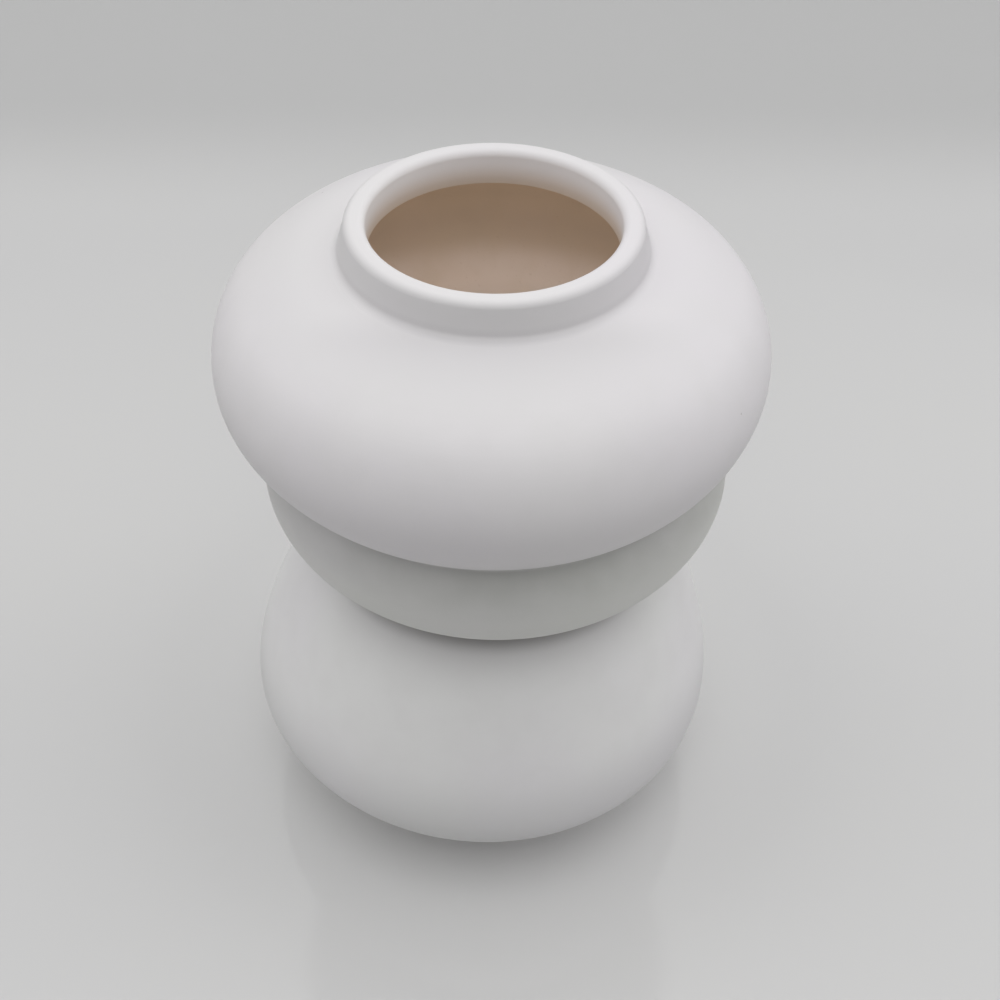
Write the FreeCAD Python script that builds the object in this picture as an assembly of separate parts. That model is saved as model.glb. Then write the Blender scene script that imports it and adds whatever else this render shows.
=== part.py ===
import FreeCAD, Part
import math
import os

os.makedirs("parts", exist_ok=True)

# A stacked pillow vase in white ceramic, in millimetres
# It stands on the plane z = 0, +Z is its axis, and each piece is a flat half section that is then turned

# Overall height and walls
total_height = 200.0
wall = 5.0
liner_thickness = 0.8
seam_thickness = 2.0
bead_depth = 0.75
overrun = 20.0

# Foot
foot_radius = 38.0
foot_width = 7.0
foot_edge = 1.5
foot_draft = 1.2

# Widest ring of each pillow, and how deep each crease goes in from the narrower of its two pillows
lower_radius = 72.5
middle_radius = 66.3
upper_radius = 75.0
lower_crease_depth = 17.8
upper_crease_depth = 5.3

# Collar neck: its flat lip with rounded edges, its side and the cove at its foot
mouth_radius = 32.7
lip_thickness = 5.8
lip_edge = 2.2
lip_inner_edge = 2.0
neck_spread = 1.6
neck_cove = 2.2

# Height of each widest ring and how far each pillow curves down and up from it, as shares of the height
lower_height_share = 0.192
lower_under_share = 0.15
middle_height_share = 0.6115
middle_under_share = 0.1735
upper_height_share = 0.8
upper_under_share = 0.187
upper_over_share = 0.151

# How far in each pillow curves before it would be flat, as a share of its radius
lower_reach_share = 0.593
middle_reach_share = 0.894
upper_reach_share = 0.696
upper_over_reach_share = 0.427

# Outline of the lowest pillow's shoulder: a share of the rise, then a share of the way out from the crease
shoulder_shares = ((0.17, 0.95), (0.34, 0.83), (0.51, 0.68), (0.68, 0.505), (0.85, 0.28))
shoulder_end_shares = (0.6, 0.8)

QUARTER_WEIGHT = math.sqrt(0.5)
UP = FreeCAD.Vector(0, 0, 1)
ORIGIN = FreeCAD.Vector(0, 0, 0)


def at(radius, height):
    """A point of the half section."""
    return FreeCAD.Vector(radius, 0, height)


def line(start, end):
    return Part.makeLine(start, end)


def quarter_ellipse(start, corner, end):
    """The quarter of an ellipse from start to end, along the two sides that meet at corner."""
    curve = Part.BSplineCurve()
    curve.buildFromPolesMultsKnots([start, corner, end], [3, 3], [0, 1], False, 2, [1, QUARTER_WEIGHT, 1])
    return curve.toShape()


def ellipse_drop(widest, reach, rise, radius):
    """Distance from the widest ring at which a pillow has a radius, or the whole rise where it is flat."""
    share = max(0, (radius - widest + reach) / reach)
    return rise * math.sqrt(1 - share ** 2)


def face(edges):
    return Part.Face(Part.Wire(edges))


def slab(low, high, radius):
    """Half section of a solid disc."""
    corners = [at(0, low), at(radius, low), at(radius, high), at(0, high), at(0, low)]
    return Part.Face(Part.makePolygon(corners))


def joined(section, others):
    """One flat face from several that overlap."""
    return Part.Shell(section.fuse(others).Faces).removeSplitter()


def turned(section):
    """The solid that a flat half section makes when it turns about the axis."""
    return Part.Shell(section.Faces).removeSplitter().Faces[0].revolve(ORIGIN, UP, 360)


# Places worked out from the sizes above
lower_height = lower_height_share * total_height
lower_under = lower_under_share * total_height
lower_reach = lower_reach_share * lower_radius
middle_height = middle_height_share * total_height
middle_under = middle_under_share * total_height
middle_reach = middle_reach_share * middle_radius
upper_height = upper_height_share * total_height
upper_under = upper_under_share * total_height
upper_over = upper_over_share * total_height
upper_reach = upper_reach_share * upper_radius
upper_over_reach = upper_over_reach_share * upper_radius
lower_crease_radius = min(lower_radius, middle_radius) - lower_crease_depth
upper_crease_radius = min(middle_radius, upper_radius) - upper_crease_depth
lower_crease_drop = ellipse_drop(middle_radius, middle_reach, middle_under, lower_crease_radius)
lower_crease_height = middle_height - lower_crease_drop
upper_crease_drop = ellipse_drop(upper_radius, upper_reach, upper_under, upper_crease_radius)
upper_crease_height = upper_height - upper_crease_drop
middle_rise_share = (upper_crease_radius - middle_radius + middle_reach) / middle_reach
middle_over = (upper_crease_height - middle_height) / math.sqrt(1 - middle_rise_share ** 2)
lower_over = lower_crease_height - lower_height
neck_side = mouth_radius + lip_thickness
neck_base_radius = neck_side + neck_spread + neck_cove
neck_rise = ellipse_drop(upper_radius, upper_over_reach, upper_over, neck_base_radius)
neck_base_height = upper_height + neck_rise
body_radius = max(lower_radius, middle_radius, upper_radius) + overrun


def pillow(widest, height, under, over, under_reach, over_reach, inset):
    """Half section of one elliptical pillow, drawn in by the inset all round."""
    ring = widest - inset
    low = height - under + inset
    high = height + over - inset
    low_flat = widest - under_reach
    high_flat = widest - over_reach
    return face([
        line(at(0, high), at(0, low)),
        line(at(0, low), at(low_flat, low)),
        quarter_ellipse(at(low_flat, low), at(ring, low), at(ring, height)),
        quarter_ellipse(at(ring, height), at(ring, high), at(high_flat, high)),
        line(at(high_flat, high), at(0, high)),
    ])


def middle_section(inset):
    reach = middle_reach
    return pillow(middle_radius, middle_height, middle_under, middle_over, reach, reach, inset)


def upper_section(inset):
    reach = upper_reach
    return pillow(upper_radius, upper_height, upper_under, upper_over, reach, upper_over_reach, inset)


def lowest_pillow(inset):
    """Half section of the lowest pillow: an elliptical underside below a tall sloping shoulder."""
    ring = lower_radius - inset
    flat = lower_radius - lower_reach
    low = lower_height - lower_under + inset
    throat = lower_crease_radius - inset
    rise = lower_over - inset
    points = [at(ring, lower_height)]
    for rise_share, out_share in shoulder_shares:
        points.append(at(throat + out_share * (ring - throat), lower_height + rise_share * rise))
    points.append(at(throat, lower_height + rise))
    shoulder = Part.BSplineCurve()
    inward_share, upward_share = shoulder_end_shares
    end_tangent = at(-inward_share, upward_share)
    shoulder.interpolate(points, InitialTangent=UP, FinalTangent=end_tangent)
    return face([
        line(at(0, lower_height + rise), at(0, low)),
        line(at(0, low), at(flat, low)),
        quarter_ellipse(at(flat, low), at(ring, low), at(ring, lower_height)),
        shoulder.toShape(),
        line(points[-1], at(0, lower_height + rise)),
    ])


def stack(inset):
    """Half section of the three pillows and the throats between them, drawn in by the inset all round."""
    lowest = lowest_pillow(inset)
    middle = middle_section(inset)
    top = upper_section(inset)
    lower_throat = slab(lower_height, middle_height, lower_crease_radius - inset)
    upper_throat = slab(middle_height, upper_height, upper_crease_radius - inset)
    return joined(lowest, [middle, top, lower_throat, upper_throat])


def mouth():
    """Half section of the clear way in through the collar."""
    return slab(upper_height, total_height + overrun, mouth_radius)


def bead(crease_radius, crease_height):
    """Half section of the disc of slip that fills the bottom of a crease."""
    low = crease_height - seam_thickness / 2
    return slab(low, low + seam_thickness, crease_radius + bead_depth)


def between(section, low, high):
    return section.common(slab(low, high, body_radius))


beads = [bead(lower_crease_radius, lower_crease_height), bead(upper_crease_radius, upper_crease_height)]
outside = joined(stack(0), beads)
hollow = stack(wall)
shell = outside.cut([hollow, mouth()])


def foot_ring():
    """The turned ring that the vase stands on, its top cut to the underside of the lowest pillow."""
    outer = foot_radius
    inner = foot_radius - foot_width
    shoulder = outer + foot_draft
    section = face([
        line(at(inner + foot_edge, 0), at(outer - foot_edge, 0)),
        quarter_ellipse(at(outer - foot_edge, 0), at(outer, 0), at(outer, foot_edge)),
        line(at(outer, foot_edge), at(shoulder, lower_height)),
        line(at(shoulder, lower_height), at(inner - foot_draft, lower_height)),
        line(at(inner - foot_draft, lower_height), at(inner, foot_edge)),
        quarter_ellipse(at(inner, foot_edge), at(inner, 0), at(inner + foot_edge, 0)),
    ])
    return turned(section.cut(lowest_pillow(0)))


def lower_pillow():
    return turned(between(shell, 0, lower_crease_height - seam_thickness / 2))


def lower_seam():
    low = lower_crease_height - seam_thickness / 2
    return turned(between(shell, low, low + seam_thickness))


def middle_pillow():
    low = lower_crease_height + seam_thickness / 2
    return turned(between(shell, low, upper_crease_height - seam_thickness / 2))


def upper_seam():
    low = upper_crease_height - seam_thickness / 2
    return turned(between(shell, low, low + seam_thickness))


def upper_pillow():
    return turned(between(shell, upper_crease_height + seam_thickness / 2, neck_base_height))


def neck():
    """Half section of the collar: a plain inside, a flat lip, a side that spreads downwards and a cove."""
    base = at(neck_base_radius, neck_base_height)
    cove_top = at(neck_side + neck_spread, neck_base_height + neck_cove)
    side_top = at(neck_side, total_height - lip_edge)
    brow = at(neck_side - lip_edge, total_height)
    inner_brow = at(mouth_radius + lip_inner_edge, total_height)
    inner_top = at(mouth_radius, total_height - lip_inner_edge)
    return face([
        line(base, at(mouth_radius, neck_base_height)),
        line(at(mouth_radius, neck_base_height), inner_top),
        quarter_ellipse(inner_top, at(mouth_radius, total_height), inner_brow),
        line(inner_brow, brow),
        quarter_ellipse(brow, at(neck_side, total_height), side_top),
        line(side_top, cove_top),
        quarter_ellipse(cove_top, at(neck_side + neck_spread, neck_base_height), base),
    ])


def neck_seam():
    return turned(between(neck(), neck_base_height, neck_base_height + seam_thickness))


def neck_collar():
    return turned(between(neck(), neck_base_height + seam_thickness, total_height + overrun))


def liner_glaze():
    """The thin tan coat on the whole inside, up to the lower edge of the mouth."""
    coat = hollow.cut([stack(wall + liner_thickness), mouth()])
    return turned(coat)


pieces = {
    "foot_ring": foot_ring,
    "lower_pillow": lower_pillow,
    "lower_seam": lower_seam,
    "middle_pillow": middle_pillow,
    "upper_seam": upper_seam,
    "upper_pillow": upper_pillow,
    "neck_seam": neck_seam,
    "neck_collar": neck_collar,
    "liner_glaze": liner_glaze,
}

for name, make in pieces.items():
    shape = make()
    shape.exportStep("parts/" + name + ".step")
    box = shape.BoundBox
    print(name, "solids", len(shape.Solids), "valid", shape.isValid(), "volume", round(shape.Volume))
    print("  radius", round(box.XMax, 2), "from z", round(box.ZMin, 2), "to", round(box.ZMax, 2))
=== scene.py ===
# %% [markdown]
# # A stacked pillow vase
# The vase is three flattened swellings on one axis with a short collar neck on top. It is matte white
# outside and tan inside, and stands on a glossy pale table. A potter throws each swelling on the wheel and
# lutes them together with slip. In Blender each section can be turned in the same way: its outline is drawn
# on one side of the axis and spun round it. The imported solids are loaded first, because they say where
# every piece goes.

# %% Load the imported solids
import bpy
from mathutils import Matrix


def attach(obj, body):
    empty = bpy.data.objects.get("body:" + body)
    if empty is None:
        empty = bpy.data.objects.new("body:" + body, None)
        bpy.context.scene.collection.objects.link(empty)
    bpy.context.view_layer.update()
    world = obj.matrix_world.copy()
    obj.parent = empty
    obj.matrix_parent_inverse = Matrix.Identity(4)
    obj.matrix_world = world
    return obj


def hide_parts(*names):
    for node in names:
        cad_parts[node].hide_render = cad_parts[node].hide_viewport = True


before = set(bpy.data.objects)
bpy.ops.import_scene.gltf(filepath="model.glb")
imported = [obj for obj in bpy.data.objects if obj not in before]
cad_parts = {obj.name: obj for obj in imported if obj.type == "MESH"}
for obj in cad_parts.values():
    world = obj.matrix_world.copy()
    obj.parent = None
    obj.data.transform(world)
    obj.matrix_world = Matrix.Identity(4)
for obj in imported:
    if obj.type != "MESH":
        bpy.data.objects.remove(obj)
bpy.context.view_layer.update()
print("nodes", sorted(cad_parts))

# %% [markdown]
# ## Sizes
# A potter keeps a board with the outline of the vase on it. These numbers are that board, in millimetres:
# how far out and how high each swelling is widest, and how far it curves in, under and over. Times MM, they
# are in metres.

# %% The potter's board
import math

import bpy
from mathutils import Vector

MM = 0.001
WALL = 5.0
LINER = 0.8
SEAM = 2.0
FOOT = {"radius": 38.0, "width": 7.0, "edge": 1.5, "draft": 1.2}
LOWER = {"ring": 72.5, "height": 38.4, "under": 30.0, "reach": 43.0}
MIDDLE = {"ring": 66.3, "height": 122.3, "under": 34.7, "reach": 59.27}
UPPER = {"ring": 74.97, "height": 160.0, "under": 37.4, "over": 30.2, "reach": 52.17, "over_reach": 32.0}
LOWER_CREASE = 48.5
UPPER_CREASE = 61.0
MOUTH = 32.7
LIP = 5.8
LIP_EDGE = 2.2
LIP_INNER_EDGE = 2.0
SPREAD = 1.6
COVE = 2.2
TOP = 200.0


def drop_to(pillow, radius, rise, reach):
    """How far below or above its widest ring a swelling has come in to a radius."""
    share = (radius - pillow["ring"] + reach) / reach
    return rise * math.sqrt(1 - share ** 2)


MIDDLE["over_reach"] = MIDDLE["reach"]
lower_crease_height = MIDDLE["height"] - drop_to(MIDDLE, LOWER_CREASE, MIDDLE["under"], MIDDLE["reach"])
upper_crease_height = UPPER["height"] - drop_to(UPPER, UPPER_CREASE, UPPER["under"], UPPER["reach"])
crest_share = (UPPER_CREASE - MIDDLE["ring"] + MIDDLE["reach"]) / MIDDLE["reach"]
MIDDLE["over"] = (upper_crease_height - MIDDLE["height"]) / math.sqrt(1 - crest_share ** 2)
neck_side = MOUTH + LIP
neck_foot = neck_side + SPREAD + COVE
neck_foot_height = UPPER["height"] + drop_to(UPPER, neck_foot, UPPER["over"], UPPER["over_reach"])
print("creases at", round(lower_crease_height, 2), "and", round(upper_crease_height, 2), "mm")
print("the neck starts at", round(neck_foot_height, 2), "mm")

# %% [markdown]
# ## Drawing an outline
# Each swelling is a quarter of an ellipse below its widest ring and another above it. Points at even angles
# along the ellipse bunch up where it curves most, which is where a smooth outline needs them.

# %% Points along an outline
ARC_STEPS = 28
TOO_NEAR = 0.05


def curve_below(pillow, inset, lowest_radius):
    """Points from a radius near the axis out to the widest ring, along the underside."""
    reach = pillow["reach"] - inset
    rise = pillow["under"] - inset
    flat = pillow["ring"] - pillow["reach"]
    start = math.acos(min(1.0, max(0.0, (lowest_radius - flat) / reach)))
    points = []
    for step in range(ARC_STEPS + 1):
        angle = start * (1 - step / ARC_STEPS)
        points.append((flat + reach * math.cos(angle), pillow["height"] - rise * math.sin(angle)))
    return points


def curve_above(pillow, inset, last_radius):
    """Points from the widest ring in to a radius nearer the axis, along the top."""
    reach = pillow["over_reach"] - inset
    rise = pillow["over"] - inset
    flat = pillow["ring"] - pillow["over_reach"]
    end = math.acos(min(1.0, max(0.0, (last_radius - flat) / reach)))
    points = []
    for step in range(ARC_STEPS + 1):
        angle = end * step / ARC_STEPS
        points.append((flat + reach * math.cos(angle), pillow["height"] + rise * math.sin(angle)))
    return points


def cut_low(points, height):
    """Drop what lies below a height or too near above it, and start with a point at it."""
    kept = [point for point in points if point[1] > height + TOO_NEAR]
    below = [point for point in points if point[1] <= height + TOO_NEAR][-1:]
    if below and below[0][1] < height:
        share = (height - below[0][1]) / (kept[0][1] - below[0][1])
        kept.insert(0, (below[0][0] + share * (kept[0][0] - below[0][0]), height))
    elif below:
        kept.insert(0, (below[0][0], height))
    return kept


def cut_high(points, height):
    """Drop what lies above a height, and end with a point at it."""
    turned = cut_low([(radius, -level) for radius, level in reversed(points)], -height)
    return [(radius, -level) for radius, level in reversed(turned)]


print("an underside has", len(curve_below(UPPER, 0, UPPER_CREASE)), "points")

# %% [markdown]
# ## Turning a section
# A primitive plane is merged to a single vertex at the first point of the outline. That vertex is extruded
# from point to point, which is how an outline is drawn by hand in edit mode, and the line is then spun
# round the axis. The last ring of a spin lies on the first, and points on the axis pile up there, so
# doubles are merged. That also closes the poles. Only then are the normals made to agree.

# %% Extrude an outline and spin it
SPIN_STEPS = 224
MERGE = 2e-6


def turn_section(name, outline, closed=True):
    """An outline in millimetres, extruded point by point and spun round the axis."""
    bpy.ops.object.select_all(action="DESELECT")
    bpy.ops.mesh.primitive_plane_add(size=MM)
    piece = bpy.context.object
    piece.name = piece.data.name = name
    bpy.ops.object.mode_set(mode="EDIT")
    bpy.ops.mesh.select_mode(type="VERT")
    bpy.ops.mesh.select_all(action="SELECT")
    bpy.ops.mesh.merge(type="CENTER")
    here = Vector((outline[0][0] * MM, 0, outline[0][1] * MM))
    bpy.ops.transform.translate(value=here)
    for radius, height in outline[1:] + (outline[:1] if closed else []):
        there = Vector((radius * MM, 0, height * MM))
        bpy.ops.mesh.extrude_region_move(TRANSFORM_OT_translate={"value": there - here})
        here = there
    bpy.ops.mesh.select_all(action="SELECT")
    bpy.ops.mesh.remove_doubles(threshold=MERGE)
    bpy.ops.mesh.spin(steps=SPIN_STEPS, angle=2 * math.pi, center=(0, 0, 0), axis=(0, 0, 1))
    bpy.ops.mesh.select_all(action="SELECT")
    bpy.ops.mesh.remove_doubles(threshold=MERGE)
    bpy.ops.mesh.normals_make_consistent(inside=False)
    bpy.ops.mesh.select_all(action="DESELECT")
    bpy.ops.object.mode_set(mode="OBJECT")
    print(name, "has", len(piece.data.polygons), "faces")
    return piece


# %% [markdown]
# ## The lowest swelling
# This section stands on the table. Its underside is a quarter ellipse, and above its widest ring it has a
# long sloping shoulder. The shoulder is a smooth curve through a few marks, as a potter bends a steel rib
# to them. The outline starts and ends on the axis, so the spin closes the floor of the vase.

# %% The sloping shoulder
SHOULDER = ((0.0, 1.0), (0.17, 0.95), (0.34, 0.83), (0.51, 0.68), (0.68, 0.505), (0.85, 0.28), (1.0, 0.0))
SHOULDER_STEPS = 8


def smooth_through(marks, steps):
    """Points on a smooth curve through the marks, each stretch leaving along its neighbours' chord."""
    points = []
    for index in range(len(marks) - 1):
        before = Vector(marks[max(0, index - 1)])
        start = Vector(marks[index])
        end = Vector(marks[index + 1])
        after = Vector(marks[min(len(marks) - 1, index + 2)])
        leave = (end - before) / 2
        arrive = (after - start) / 2
        if index == 0:
            leave = Vector((0, arrive.length))
        for step in range(steps):
            t = step / steps
            place = start * (2 * t ** 3 - 3 * t ** 2 + 1) + end * (3 * t ** 2 - 2 * t ** 3)
            place += leave * (t ** 3 - 2 * t ** 2 + t) + arrive * (t ** 3 - t ** 2)
            points.append(tuple(place))
    points.append(tuple(marks[-1]))
    return points


def shoulder(inset):
    """The outline from the lowest widest ring up to the lower crease, drawn in by an inset."""
    throat = LOWER_CREASE - inset
    ring = LOWER["ring"] - inset
    rise = lower_crease_height - inset - LOWER["height"]
    marks = [(throat + out * (ring - throat), LOWER["height"] + up * rise) for up, out in SHOULDER]
    return smooth_through(marks, SHOULDER_STEPS)


def lower_outline(inset):
    """From the axis under the lowest swelling, round it and up to the lower crease."""
    floor = LOWER["height"] - LOWER["under"] + inset
    return [(0.0, floor)] + curve_below(LOWER, inset, LOWER["ring"] - LOWER["reach"]) + shoulder(inset)[1:]


seam_low = lower_crease_height - SEAM / 2
seam_high = lower_crease_height + SEAM / 2
throat = LOWER_CREASE - WALL
wall_inside = lower_outline(WALL) + [(throat, seam_low)]
outline = cut_high(lower_outline(0), seam_low) + list(reversed(wall_inside))
lower_swelling = turn_section("lower_swelling", outline, closed=False)

# %% [markdown]
# ## The middle and the top swelling
# Both are open at both ends, so their outlines close on themselves: up the outside, across the cut, and
# down the inside. The straight stretch inside each end is the throat that one section opens through into
# the next.

# %% Turn the middle section
top_seam_low = upper_crease_height - SEAM / 2
top_seam_high = upper_crease_height + SEAM / 2
top_throat = UPPER_CREASE - WALL
outside = curve_below(MIDDLE, 0, LOWER_CREASE) + curve_above(MIDDLE, 0, UPPER_CREASE)[1:]
outside = cut_high(cut_low(outside, seam_high), top_seam_low)
inside = curve_below(MIDDLE, WALL, throat) + curve_above(MIDDLE, WALL, top_throat)[1:]
inside = [(throat, seam_high)] + inside + [(top_throat, top_seam_low)]
middle_swelling = turn_section("middle_swelling", outside + list(reversed(inside)))

# %% Turn the top section
outside = curve_below(UPPER, 0, UPPER_CREASE) + curve_above(UPPER, 0, neck_foot)[1:]
outside = cut_low(outside, top_seam_high)
inside = curve_below(UPPER, WALL, top_throat) + curve_above(UPPER, WALL, MOUTH)[1:]
inside = [(top_throat, top_seam_high)] + inside + [(MOUTH, neck_foot_height)]
top_swelling = turn_section("top_swelling", outside + list(reversed(inside)))

# %% [markdown]
# ## The slip in the creases
# Where two swellings meet, the potter runs a little wet slip into the crease and wipes it with a finger.
# That leaves a small hollow fillet rather than a sharp corner. A curve with one control point in the corner
# gives it.

# %% Turn the two rings of slip
FILLET_STEPS = 10


def fillet(low, corner, high):
    """Points of a hollow curve from low to high that leans towards the corner."""
    points = []
    for step in range(FILLET_STEPS + 1):
        t = step / FILLET_STEPS
        place = Vector(low) * (1 - t) ** 2 + Vector(corner) * 2 * t * (1 - t) + Vector(high) * t ** 2
        points.append(tuple(place))
    return points


below = cut_high(lower_outline(0), seam_low)[-1]
above = cut_low(curve_below(MIDDLE, 0, LOWER_CREASE), seam_high)[0]
curve = fillet(below, (LOWER_CREASE, lower_crease_height), above)
lower_slip = turn_section("lower_slip", curve + [(throat, seam_high), (throat, seam_low)])
below = cut_high(curve_above(MIDDLE, 0, UPPER_CREASE), top_seam_low)[-1]
above = cut_low(curve_below(UPPER, 0, UPPER_CREASE), top_seam_high)[0]
curve = fillet(below, (UPPER_CREASE, upper_crease_height), above)
upper_slip = turn_section("upper_slip", curve + [(top_throat, top_seam_high), (top_throat, top_seam_low)])

# %% [markdown]
# ## The collar neck
# The neck is a short collar with a flat lip. Its side spreads a little downwards and stands in a small cove
# on an almost level shoulder, which is the mark of a collar that was thrown apart and set on. Both edges of
# the lip are rounded with a wet sponge, the outer one more. The ring of slip that joins the collar on is
# the foot of the cove.

# %% Turn the collar and its ring of slip
COVE_STEPS = 10
LIP_STEPS = 9


def quarter(centre, radius, start, steps):
    """Points of a quarter circle about a centre, from an angle on."""
    points = []
    for step in range(steps + 1):
        angle = start + math.pi / 2 * step / steps
        points.append((centre[0] + radius * math.cos(angle), centre[1] + radius * math.sin(angle)))
    return points


cove = quarter((neck_foot, neck_foot_height + COVE), COVE, math.pi, COVE_STEPS)
cove.reverse()
lip = quarter((neck_side - LIP_EDGE, TOP - LIP_EDGE), LIP_EDGE, 0, LIP_STEPS)
lip += quarter((MOUTH + LIP_INNER_EDGE, TOP - LIP_INNER_EDGE), LIP_INNER_EDGE, math.pi / 2, LIP_STEPS)
neck_seam_high = neck_foot_height + SEAM
outline = cut_high(cove, neck_seam_high) + [(MOUTH, neck_seam_high), (MOUTH, neck_foot_height)]
neck_slip = turn_section("neck_slip", outline)
neck_ring = turn_section("neck_ring", cut_low(cove, neck_seam_high) + lip + [(MOUTH, neck_seam_high)])

# %% [markdown]
# ## The tan coat inside
# Before firing, the potter pours liquid glaze in and out again, and it leaves a thin coat on the whole
# inside. The outline of the hollow is drawn twice, once at the wall and once a coat's thickness further in.

# %% Turn the lining


def hollow_outline(inset):
    """From the axis on the floor of the hollow, up through both throats to the edge of the mouth."""
    points = lower_outline(inset)
    points += curve_below(MIDDLE, inset, LOWER_CREASE - inset)
    points += curve_above(MIDDLE, inset, UPPER_CREASE - inset)[1:]
    points += curve_below(UPPER, inset, UPPER_CREASE - inset)
    points += curve_above(UPPER, inset, MOUTH)[1:]
    return points


outline = hollow_outline(WALL) + list(reversed(hollow_outline(WALL + LINER)))
lining = turn_section("lining", outline, closed=False)

# %% [markdown]
# ## The foot
# Under the lowest swelling is a turned foot, hidden in this view but needed for the vase to stand. Its
# edges are rounded, because a sharp clay edge chips, and it flares a little where it meets the belly.

# %% Turn the foot
FOOT_STEPS = 8
outer = FOOT["radius"]
inner = FOOT["radius"] - FOOT["width"]
edge = FOOT["edge"]
flat = LOWER["ring"] - LOWER["reach"]


def belly_height(radius):
    """Height of the underside of the lowest swelling at a radius."""
    share = (max(radius, flat) - flat) / LOWER["reach"]
    return LOWER["height"] - LOWER["under"] * math.sqrt(1 - share ** 2)


outline = []
for step in range(FOOT_STEPS + 1):
    angle = math.pi / 2 * step / FOOT_STEPS
    outline.append((outer - edge + edge * math.sin(angle), edge - edge * math.cos(angle)))
rise = belly_height(outer) - edge
side_run = FOOT["draft"] * rise / (LOWER["height"] - edge)
outline.append((outer + side_run, belly_height(outer + side_run)))
for step in range(1, FOOT_STEPS):
    radius = outer + side_run - step / FOOT_STEPS * (FOOT["width"] + 2 * side_run)
    outline.append((radius, belly_height(radius)))
outline.append((inner - side_run, belly_height(inner - side_run)))
for step in range(FOOT_STEPS + 1):
    angle = math.pi / 2 * step / FOOT_STEPS
    outline.append((inner + edge - edge * math.cos(angle), edge - edge * math.sin(angle)))
foot = turn_section("foot", outline)

# %% [markdown]
# ## A stack made by hand
# Three sections set on each other by hand never share one exact axis. In the photograph the middle one sits
# a little to the right and the lowest a little to the left. A lattice bends the whole stack at once: each
# level of its points is nudged sideways, and every piece takes the same modifier, so the joints stay
# closed. The rim also dips a little towards the front, so the top levels tip.

# %% Nudge the levels of one lattice
SWAY = (0.3, 0.1, -0.6, -2.1, -1.9, -1.4, -0.6, 0.4, 1.1, 1.5, 1.3, 0.6, 0.0, 0.0, 0.1, 0.3, 0.35)
FRONT_DIP = (0.0,) * 14 + (0.3, 1.4, 2.2)
BACK_RISE = 0.45
CAGE = 200.0
POINTS_PER_LEVEL = 4
SMOOTH_BELOW = math.radians(38)
pieces = [lower_swelling, middle_swelling, top_swelling, lower_slip, upper_slip, neck_slip]
pieces += [neck_ring, lining, foot]
bpy.ops.object.select_all(action="DESELECT")
bpy.ops.object.add(type="LATTICE", location=(0, 0, CAGE * MM / 2))
cage = bpy.context.object
cage.scale = (CAGE * MM, CAGE * MM, CAGE * MM)
cage.data.interpolation_type_u = "KEY_LINEAR"
cage.data.interpolation_type_v = "KEY_LINEAR"
cage.data.interpolation_type_w = "KEY_CATMULL_ROM"
cage.data.points_u, cage.data.points_v, cage.data.points_w = 2, 2, len(SWAY)
for index, point in enumerate(cage.data.points):
    level = index // POINTS_PER_LEVEL
    dip = FRONT_DIP[level] / CAGE
    point.co_deform.x += SWAY[level] / CAGE
    point.co_deform.z += BACK_RISE * dip if point.co.y > 0 else -dip
bpy.context.view_layer.update()
for piece in pieces:
    bpy.ops.object.select_all(action="DESELECT")
    piece.select_set(True)
    bpy.context.view_layer.objects.active = piece
    bend = piece.modifiers.new("sway", "LATTICE")
    bend.object = cage
    bpy.ops.object.modifier_apply(modifier=bend.name)
    bpy.ops.object.shade_smooth_by_angle(angle=SMOOTH_BELOW)
bpy.ops.object.select_all(action="DESELECT")
cage.select_set(True)
bpy.ops.object.delete()
for piece in pieces:
    xs = [round(v.co.x / MM, 2) for v in piece.data.vertices]
    zs = [round(v.co.z / MM, 2) for v in piece.data.vertices]
    print(piece.name, "x", min(xs), "to", max(xs), "z", min(zs), "to", max(zs))

# %% [markdown]
# ## Shader maths as plain sums
# A finish is easier to read when it is written as a sum. One small class wraps a socket: adding or
# multiplying two of them makes the Math node that does it.

# %% Sums on sockets


class Value:
    """A socket that carries a number, so that sums on it read like sums."""

    def __init__(self, web, socket):
        self.web = web
        self.socket = socket

    def sum(self, operation, first, second):
        node = self.web.node("ShaderNodeMath", {"operation": operation}, {0: first, 1: second})
        return Value(self.web, node.outputs[0])

    def __add__(self, other):
        return self.sum("ADD", self, other)

    __radd__ = __add__

    def __sub__(self, other):
        return self.sum("SUBTRACT", self, other)

    def __rsub__(self, other):
        return self.sum("SUBTRACT", other, self)

    def __mul__(self, other):
        return self.sum("MULTIPLY", self, other)

    __rmul__ = __mul__

    def __pow__(self, other):
        return self.sum("POWER", self, other)


# %% [markdown]
# ## A web of nodes
# The table, the vase and the surround all need the same few nodes: soft noise, a smooth step between two
# values, and one colour that turns into another. One class holds such a web. One of its methods adds any
# node, and the others are short ways to the nodes that come up most.

# %% A tree of nodes
Y, Z = 1, 2
MIX_FIRST, MIX_SECOND, MIX_RESULT = 6, 7, 2


def colour_of(tone):
    """A tone of red, green and blue gets the fourth number that a colour socket takes."""
    return tone if isinstance(tone, Value) else (*tone, 1)


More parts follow.
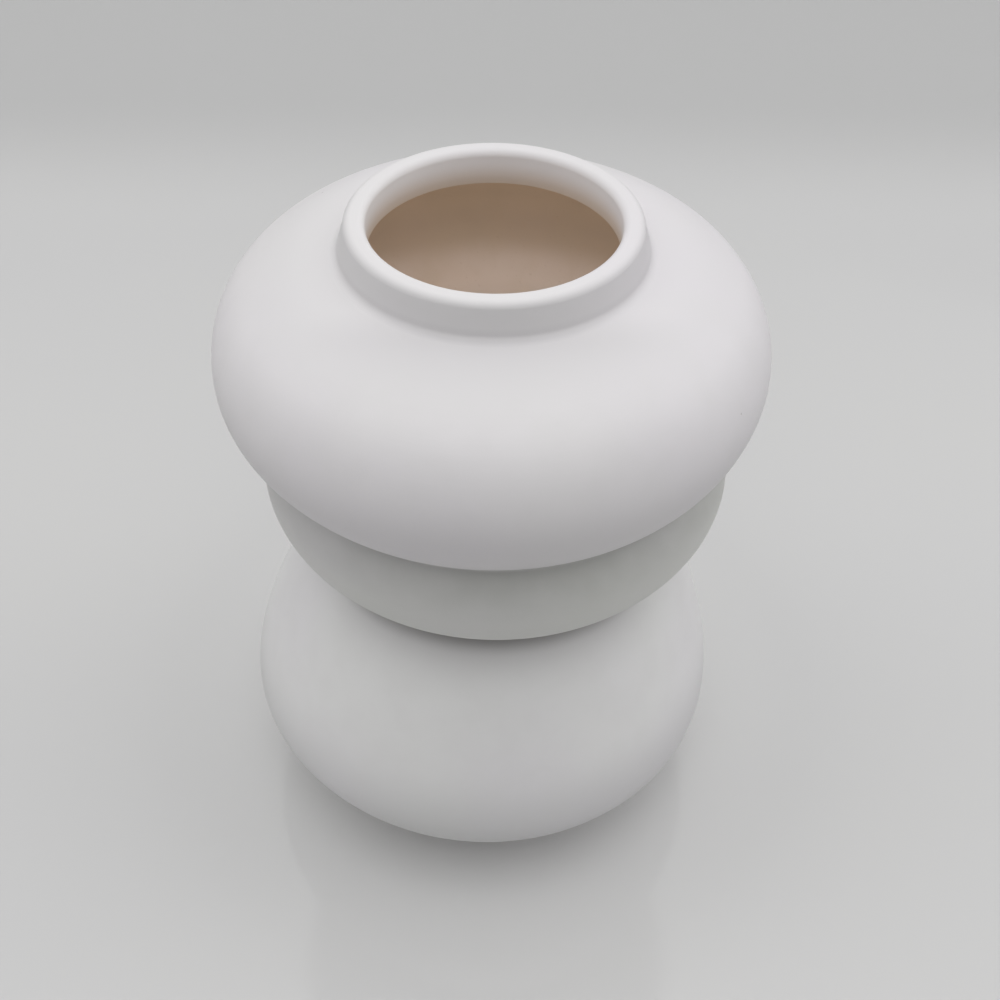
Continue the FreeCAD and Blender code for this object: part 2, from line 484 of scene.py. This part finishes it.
class Web:
    """A tree of nodes, of a material or of the surround, and short ways to add to it."""

    def __init__(self, tree, place):
        self.tree = tree
        self.place = Value(self, self.node("ShaderNodeTexCoord").outputs[place])

    def node(self, kind, settings=None, sockets=None):
        """Any node: its settings come first, then the values or links of its sockets."""
        made = self.tree.nodes.new(kind)
        for name, value in (settings or {}).items():
            setattr(made, name, value)
        for name, value in (sockets or {}).items():
            if isinstance(value, Value):
                self.tree.links.new(value.socket, made.inputs[name])
            else:
                made.inputs[name].default_value = value
        return made

    def noise(self, scale, detail=2.0, stretch=(1, 1, 1)):
        """Soft noise from 0 to 1. Stretch multiplies the place along each axis first."""
        place = self.node("ShaderNodeMapping", {}, {"Vector": self.place, "Scale": stretch})
        sockets = {"Vector": Value(self, place.outputs[0]), "Scale": scale, "Detail": detail}
        return Value(self, self.node("ShaderNodeTexNoise", {}, sockets).outputs[0])

    def ramp(self, value, low, high):
        """A smooth step: 0 below low, 1 above high."""
        settings = {"interpolation_type": "SMOOTHSTEP"}
        sockets = {0: value, 1: low, 2: high}
        return Value(self, self.node("ShaderNodeMapRange", settings, sockets).outputs[0])

    def towards(self, direction):
        """How far each place lies in a direction, and 0 behind. In the surround, straight ahead is 1."""
        sockets = {0: self.place, 1: Vector(direction).normalized()}
        product = self.node("ShaderNodeVectorMath", {"operation": "DOT_PRODUCT"}, sockets)
        product = Value(self, product.outputs["Value"])
        return product.sum("MAXIMUM", product, 0.0)

    def along(self, axis):
        """Coordinate of each point along an axis, in metres."""
        split = self.node("ShaderNodeSeparateXYZ", {}, {0: self.place})
        return Value(self, split.outputs[axis])

    def axis_distance(self):
        """Distance of each point from the axis of the vase, in metres."""
        sockets = {0: self.place, 1: (1, 1, 0)}
        flat = self.node("ShaderNodeVectorMath", {"operation": "MULTIPLY"}, sockets)
        sockets = {0: Value(self, flat.outputs[0])}
        length = self.node("ShaderNodeVectorMath", {"operation": "LENGTH"}, sockets)
        return Value(self, length.outputs["Value"])

    def blend(self, share, first, second):
        """One colour turning into another as share goes from 0 to 1."""
        sockets = {0: share, MIX_FIRST: colour_of(first), MIX_SECOND: colour_of(second)}
        node = self.node("ShaderNodeMix", {"data_type": "RGBA"}, sockets)
        return Value(self, node.outputs[MIX_RESULT])

    def bands(self, value, first, others):
        """Colours that take over from each other, each across its own two values."""
        tone = first
        for low, high, colour in others:
            tone = self.blend(self.ramp(value, low, high), tone, colour)
        return tone


# %% [markdown]
# ## A material
# A finish is a web of nodes with a principled shader at its end. Its patterns read the place of each point
# on the object, so they stay where they are when the object is seen from another side.

# %% A finish for a piece


class Finish(Web):
    """One material: its principled shader, its nodes, and the place of each point in metres."""

    def __init__(self, name):
        self.material = bpy.data.materials.new(name)
        self.material.use_nodes = True
        tree = self.material.node_tree
        tree.nodes.clear()
        super().__init__(tree, "Object")
        self.shader = self.node("ShaderNodeBsdfPrincipled")
        out = self.node("ShaderNodeOutputMaterial")
        tree.links.new(self.shader.outputs[0], out.inputs[0])

    def paint(self, colour, roughness, relief):
        """Colour, roughness and relief onto the shader. The relief is in millimetres."""
        self.tree.links.new(colour.socket, self.shader.inputs["Base Color"])
        self.tree.links.new(roughness.socket, self.shader.inputs["Roughness"])
        bump = self.node("ShaderNodeBump", {}, {"Strength": 1.0, "Distance": MM, "Height": relief})
        self.tree.links.new(bump.outputs[0], self.shader.inputs["Normal"])
        print(self.material.name, "has", len(self.tree.nodes), "nodes")
        return self.material


# %% [markdown]
# ## The matte white outside
# The outside is a smooth matte white, but a fired white is never quite even. Its tones by height are painted
# light and shade: palest on the shoulders where light falls, greyer under each swelling, at the foot of the
# collar and most of all in front of it, and the whole middle section greyer and a little green. A thin dark
# line of painted shade lies in the lower crease, and the collar's inner wall turns tan and darker towards the
# inside, painted shade and tan bounce light. Close up there are faint level lines from the turning tool, a
# fine grain like paper, and here and there a pinhole where a bubble burst in the kiln. The tones come first:
# each takes over from the one below it between two heights, given in metres, and soft noise breaks them up.

# %% The white finish
# Painted light and shade: the white at each height is lighter or darker by how light falls there, palest on
# the shoulders and greyest under the swellings.
WHITE_LIGHT_AND_SHADE = (
    (0.038, 0.062, (0.875, 0.873, 0.866)),
    (0.074, 0.090, (0.85, 0.85, 0.84)),
    (0.0965, 0.0985, (0.715, 0.72, 0.69)),
    (0.116, 0.130, (0.56, 0.565, 0.54)),
    (0.1335, 0.1355, (0.765, 0.75, 0.755)),
    (0.152, 0.168, (0.85, 0.832, 0.84)),
    (0.180, 0.1885, (0.765, 0.75, 0.757)),
    (0.1915, 0.193, (0.80, 0.785, 0.79)),
)
# Painted shade under the lowest swelling.
SHADED_LOWEST_WHITE = (0.745, 0.745, 0.74)
LAVENDER = (0.80, 0.75, 0.83)
CHALK = (0.76, 0.75, 0.745)
white = Finish("matte_white_ware")
patches = white.noise(14.0, 2.0)
mottle = white.noise(90.0, 3.0)
grain = white.noise(1700.0, 3.0)
height = white.along(Z)
# Painted light and shade by height.
tone = white.bands(height, SHADED_LOWEST_WHITE, WHITE_LIGHT_AND_SHADE)
tone = white.blend(white.ramp(patches, 0.35, 0.68) * 0.22, tone, LAVENDER)
tone = white.blend(white.ramp(mottle, 0.3, 0.8) * 0.2, tone, CHALK)
print("the white has", len(WHITE_LIGHT_AND_SHADE) + 1, "tones")

# %% [markdown]
# ## Marks on the white
# Four marks lie over the tones: painted shade and tan bounce light on the collar's inner wall, painted shade
# on the shoulder in front of the collar, a dark line of painted shade in the lower crease, and the pinholes.
# Each is a mask from 0 to 1, made of smooth steps over the height and the distance from the axis. The
# pinholes lie at the centres of a pattern of cells, of which only a few, picked by chance, get one.

# %% Lay the marks over the tones
# Painted shade and tan bounce light on the collar's inner wall.
COLLAR_SHADE_TAN = (0.56, 0.455, 0.36)
COLLAR_SHADE_OUT = (0.0343, 0.0358)
COLLAR_SHADE_UP = (0.1890, 0.1970)
SHADE = (0.665, 0.65, 0.66)
SHADE_OUT = (0.044, 0.061)
SHADE_UP = (0.1896, 0.1904)
SHADE_FRONT = (0.026, 0.042)
# Painted shade: a thin dark line in the lower crease.
CREASE_SHADE = (0.22, 0.21, 0.20)
CREASE_SHADE_REACH = 0.006
PIT_TONE = (0.42, 0.38, 0.34)
PIT_RADIUS = (0.02, 0.06)
LUCKY = (0.93, 0.94)
out = white.axis_distance()
# Painted shade and tan bounce light on the collar's inner wall.
collar_shade = (1 - white.ramp(out, *COLLAR_SHADE_OUT)) * (1 - white.ramp(height, *COLLAR_SHADE_UP))
tone = white.blend(collar_shade * 0.9, tone, COLLAR_SHADE_TAN)
near_collar = (1 - white.ramp(out, *SHADE_OUT)) * (1 - white.ramp(height, *SHADE_UP))
in_front = white.ramp(white.towards((0, -1, 0)), *SHADE_FRONT)
tone = white.blend(near_collar * in_front, tone, SHADE)
from_crease = height - lower_crease_height * MM
from_crease = from_crease.sum("ABSOLUTE", from_crease, 0.0)
# Painted shade in the lower crease.
tone = white.blend((1 - white.ramp(from_crease, 0.0, CREASE_SHADE_REACH)) * 0.75, tone, CREASE_SHADE)
pins = white.node("ShaderNodeTexVoronoi", {"feature": "F1"}, {"Vector": white.place, "Scale": 130.0})
lucky = white.node("ShaderNodeSeparateColor", {}, {0: Value(white, pins.outputs["Color"])})
pit = 1 - white.ramp(Value(white, pins.outputs["Distance"]), *PIT_RADIUS)
pit = pit * white.ramp(Value(white, lucky.outputs[0]), *LUCKY)
tone = white.blend(pit * 0.5, tone, PIT_TONE)
print("the dark line lies at", round(lower_crease_height, 1), "mm")

# %% [markdown]
# ## Relief of the white
# The turning lines come from noise that is stretched far along the height, so it hardly changes round the
# pot. Slower waves are the places where the hand slipped a little, and the pinholes go in.

# %% The relief of the white
lines = white.noise(1.0, 2.0, (5, 5, 620))
waves = white.noise(1.0, 1.0, (9, 9, 34))
relief = lines * 0.018 + grain * 0.006 + waves * 0.12 - pit * 0.09
white_ware = white.paint(tone, 0.5 + mottle * 0.12 + grain * 0.06, relief)
white.shader.inputs["Specular IOR Level"].default_value = 0.42

# %% [markdown]
# ## The tan lining
# The glaze inside is satin and tan. Its tones by height are painted light and shade: darkest and brownest in
# a ring round the belly of the top section, lighter again above it, and lighter and pinker lower, over the
# throat, where light from the mouth falls. Soft noise breaks up each ring, and long faint runs go down the
# wall.

# %% The tan finish
# Painted light and shade: darker in a ring round the belly of the top section, lighter and pinker lower down
# where light from the mouth falls.
TAN_LIGHT_AND_SHADE = (
    (0.137, 0.142, (0.74, 0.63, 0.55)),
    (0.145, 0.153, (0.57, 0.46, 0.355)),
    (0.156, 0.166, (0.68, 0.555, 0.42)),
    (0.166, 0.173, (0.77, 0.63, 0.48)),
)
LOWEST_TAN = (0.64, 0.54, 0.47)
HONEY = (0.68, 0.55, 0.44)
RUN_TAN = (0.60, 0.49, 0.36)
SPECK = (0.50, 0.38, 0.28)
tan = Finish("tan_lining")
clouds = tan.noise(22.0, 3.0)
runs = tan.noise(1.0, 2.0, (95, 95, 7))
specks = tan.noise(900.0, 2.0)
level = tan.along(Z) + clouds * 0.006 - 0.003
# Painted light and shade by height.
tone = tan.bands(level, LOWEST_TAN, TAN_LIGHT_AND_SHADE)
tone = tan.blend(tan.ramp(clouds, 0.35, 0.7) * 0.3, tone, HONEY)
tone = tan.blend(tan.ramp(runs, 0.4, 0.75) * 0.25, tone, RUN_TAN)
tone = tan.blend(tan.ramp(specks, 0.66, 0.75) * 0.2, tone, SPECK)
relief = runs * 0.05 + clouds * 0.08 + specks * 0.006
tan_coat = tan.paint(tone, 0.4 + clouds * 0.14, relief)

# %% [markdown]
# ## The bare foot
# The ring that the vase stands on is wiped clean before firing, so that it doesn't stick to the kiln shelf.
# Bare fired clay is buff and gritty.

# %% The clay finish
BUFF = (0.56, 0.49, 0.41)
PALE_BUFF = (0.64, 0.58, 0.50)
GRIT = (0.34, 0.27, 0.20)
clay = Finish("bare_foot_clay")
grit = clay.noise(1100.0, 4.0)
shade = clay.noise(60.0, 3.0)
tone = clay.blend(clay.ramp(shade, 0.3, 0.7), BUFF, PALE_BUFF)
tone = clay.blend(clay.ramp(grit, 0.6, 0.75) * 0.5, tone, GRIT)
foot_clay = clay.paint(tone, 0.78 + grit * 0.14, grit * 0.05 + shade * 0.05)

# %% [markdown]
# ## Naming what each piece stands for
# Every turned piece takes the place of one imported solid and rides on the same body. The solid stays for the
# physics, and this piece is what is seen.

# %% Finish and place each piece
dressed = (
    (foot, "foot_ring", "bare_clay", foot_clay),
    (lower_swelling, "lower_pillow", "matte_white", white_ware),
    (lower_slip, "lower_seam", "matte_white", white_ware),
    (middle_swelling, "middle_pillow", "matte_white", white_ware),
    (upper_slip, "upper_seam", "matte_white", white_ware),
    (top_swelling, "upper_pillow", "matte_white", white_ware),
    (neck_slip, "neck_seam", "matte_white", white_ware),
    (neck_ring, "neck_collar", "matte_white", white_ware),
    (lining, "liner_glaze", "tan_glaze", tan_coat),
)
for piece, node, slot, material in dressed:
    piece.data.materials.clear()
    piece.data.materials.append(material)
    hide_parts(node)
    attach(piece, "root")
print(len(dressed), "pieces ride on root")

# %% [markdown]
# ## The table
# The vase stands on a pale glossy table that mirrors it faintly. Further back the tone goes a little greyer,
# painted shade where the table ends, and close round the foot it is a little paler, painted light. One wide
# plane is enough, because its finish does the work.

# %% The glossy table top
TABLE_WIDTH = 6.0
PALE_GREY = (0.60, 0.60, 0.605)
WARM_GREY = (0.615, 0.612, 0.605)
# Painted light on the table close round the foot.
PAINTED_LIGHT_GREY = (0.68, 0.678, 0.675)
PAINTED_LIGHT_CENTRE = (0, 0.02, 0)
PAINTED_LIGHT_OUT = (0.066, 0.118)
# Painted shade further back on the table.
FAR_SHADE_GREY = (0.51, 0.51, 0.51)
FAR_EDGE = (0.33, 0.47)
bpy.ops.object.select_all(action="DESELECT")
bpy.ops.mesh.primitive_plane_add(size=TABLE_WIDTH, location=(0, 0, 0))
table = bpy.context.object
table.name = "table_top"
gloss = Finish("glossy_table")
cloudy = gloss.noise(5.0, 2.0)
sockets = {0: gloss.place, 1: PAINTED_LIGHT_CENTRE}
away = gloss.node("ShaderNodeVectorMath", {"operation": "DISTANCE"}, sockets)
away = Value(gloss, away.outputs["Value"])
tone = gloss.blend(cloudy, PALE_GREY, WARM_GREY)
# Painted light round the foot.
tone = gloss.blend(1 - gloss.ramp(away, *PAINTED_LIGHT_OUT), tone, PAINTED_LIGHT_GREY)
# Painted shade further back.
tone = gloss.blend(gloss.ramp(gloss.along(Y), *FAR_EDGE), tone, FAR_SHADE_GREY)
table.data.materials.append(gloss.paint(tone, 0.08 + cloudy * 0.03, cloudy * 0.02))

# %% [markdown]
# ## Soft studio light
# The photograph has no hard shadow anywhere. Its light comes from above, with a soft window on each side,
# and almost none comes from low in front, so the undersides are grey. A surround that glows in those
# directions gives that. Each glow is a power of how squarely a direction faces it: a high power makes a
# small window.

# %% The glow of the surround
GLOWS = (
    ("overhead, wide", (0, 0, 1), 4, 1.53),
    ("overhead, small", (0, 0, 1), 12, 0.24),
    ("high in front", (0, -0.7, 1), 12, 1.13),
    ("high behind", (0, 0.7, 1), 12, 0.35),
    ("left, high", (-1, 0, 0.8), 16, 0.83),
    ("left, low", (-1, 0, 0.3), 16, 0.76),
    ("left, behind", (-1, 0.9, 0.8), 10, 0.44),
    ("right, high", (1, 0, 0.8), 16, 0.85),
    ("right, low", (1, 0, 0.3), 16, 1.04),
    ("right, behind", (1, 0.9, 0.8), 10, 0.69),
)
world = bpy.data.worlds.new("soft_surround")
bpy.context.scene.world = world
world.use_nodes = True
sky = Web(world.node_tree, "Generated")
glow = 0.0
for name, direction, tightness, strength in GLOWS:
    glow = glow + sky.towards(direction) ** tightness * strength
background = world.node_tree.nodes["Background"]
background.inputs["Color"].default_value = (1, 1, 1, 1)
world.node_tree.links.new(glow.socket, background.inputs["Strength"])
print("the surround has", len(GLOWS), "glows")

# %% [markdown]
# ## A little light in the mouth
# In the photograph the tan inside is lit far better than so small a mouth would allow. Two faint discs of
# light that shine down only stand in for that, one at the foot of the collar for the hollow and one level
# with the rim for the collar's own inner wall. Neither the camera nor a reflection shows them.

# %% Hang two discs of light in the mouth
FILLS = (("mouth_fill", 0.190, 0.058, 0.0186), ("collar_fill", 0.2004, 0.063, 0.0027))
for name, level, width, power in FILLS:
    bpy.ops.object.select_all(action="DESELECT")
    bpy.ops.object.light_add(type="AREA", location=(0, 0, level))
    fill = bpy.context.object
    fill.name = name
    fill.data.shape = "DISK"
    fill.data.size = width
    fill.data.energy = power
    fill.visible_camera = False
    fill.visible_glossy = False
    print(name, "is", width / MM, "mm wide")

# %% [markdown]
# ## A paper wall
# From low down one sees past the end of the table. A ring of pale paper stands there as a backdrop. It is
# only seen, straight or in the gloss of the table: it neither lights the vase nor takes light away from it,
# so it can't spoil the soft shading.

# %% Stand a paper wall round the table
WALL_RADIUS = 2.9
WALL_HEIGHT = 1.6
WALL_SIDES = 96
PAPER = (0.74, 0.74, 0.74)
PALE_PAPER = (0.77, 0.77, 0.765)
bpy.ops.object.select_all(action="DESELECT")
bpy.ops.mesh.primitive_cylinder_add(
    vertices=WALL_SIDES,
    radius=WALL_RADIUS,
    depth=WALL_HEIGHT,
    end_fill_type="NOTHING",
    location=(0, 0, WALL_HEIGHT / 2),
)
wall = bpy.context.object
wall.name = "paper_wall"
bpy.ops.object.shade_smooth()
wall.visible_diffuse = False
wall.visible_shadow = False
paper = Finish("pale_paper")
fibres = paper.noise(400.0, 2.0)
tone = paper.blend(fibres, PAPER, PALE_PAPER)
wall.data.materials.append(paper.paint(tone, 0.8 + fibres * 0.1, fibres * 0.02))

# %% [markdown]
# ## The camera
# The picture is taken from close by and well above, looking down at a little over forty degrees. The place
# and the lens come from matching the outlines of the three swellings and the rim to the photograph.

# %% Place the camera
CAMERA_PLACE = (-0.0038952, -0.3074631, 0.3829466)
CAMERA_TURN = (47.609, -0.662, -0.659)
SENSOR = 36.0
LENS = 50.054
NEAREST = 0.01
turns = [math.radians(turn) for turn in CAMERA_TURN]
bpy.ops.object.camera_add(location=CAMERA_PLACE, rotation=turns)
camera = bpy.context.object
camera.name = "photo_camera"
camera.data.sensor_width = SENSOR
camera.data.lens = LENS
camera.data.clip_start = NEAREST
bpy.context.scene.camera = camera
bpy.context.scene.view_settings.view_transform = "Standard"
bpy.context.scene.view_settings.look = "None"
print("camera", [round(c, 4) for c in camera.location], "lens", camera.data.lens)
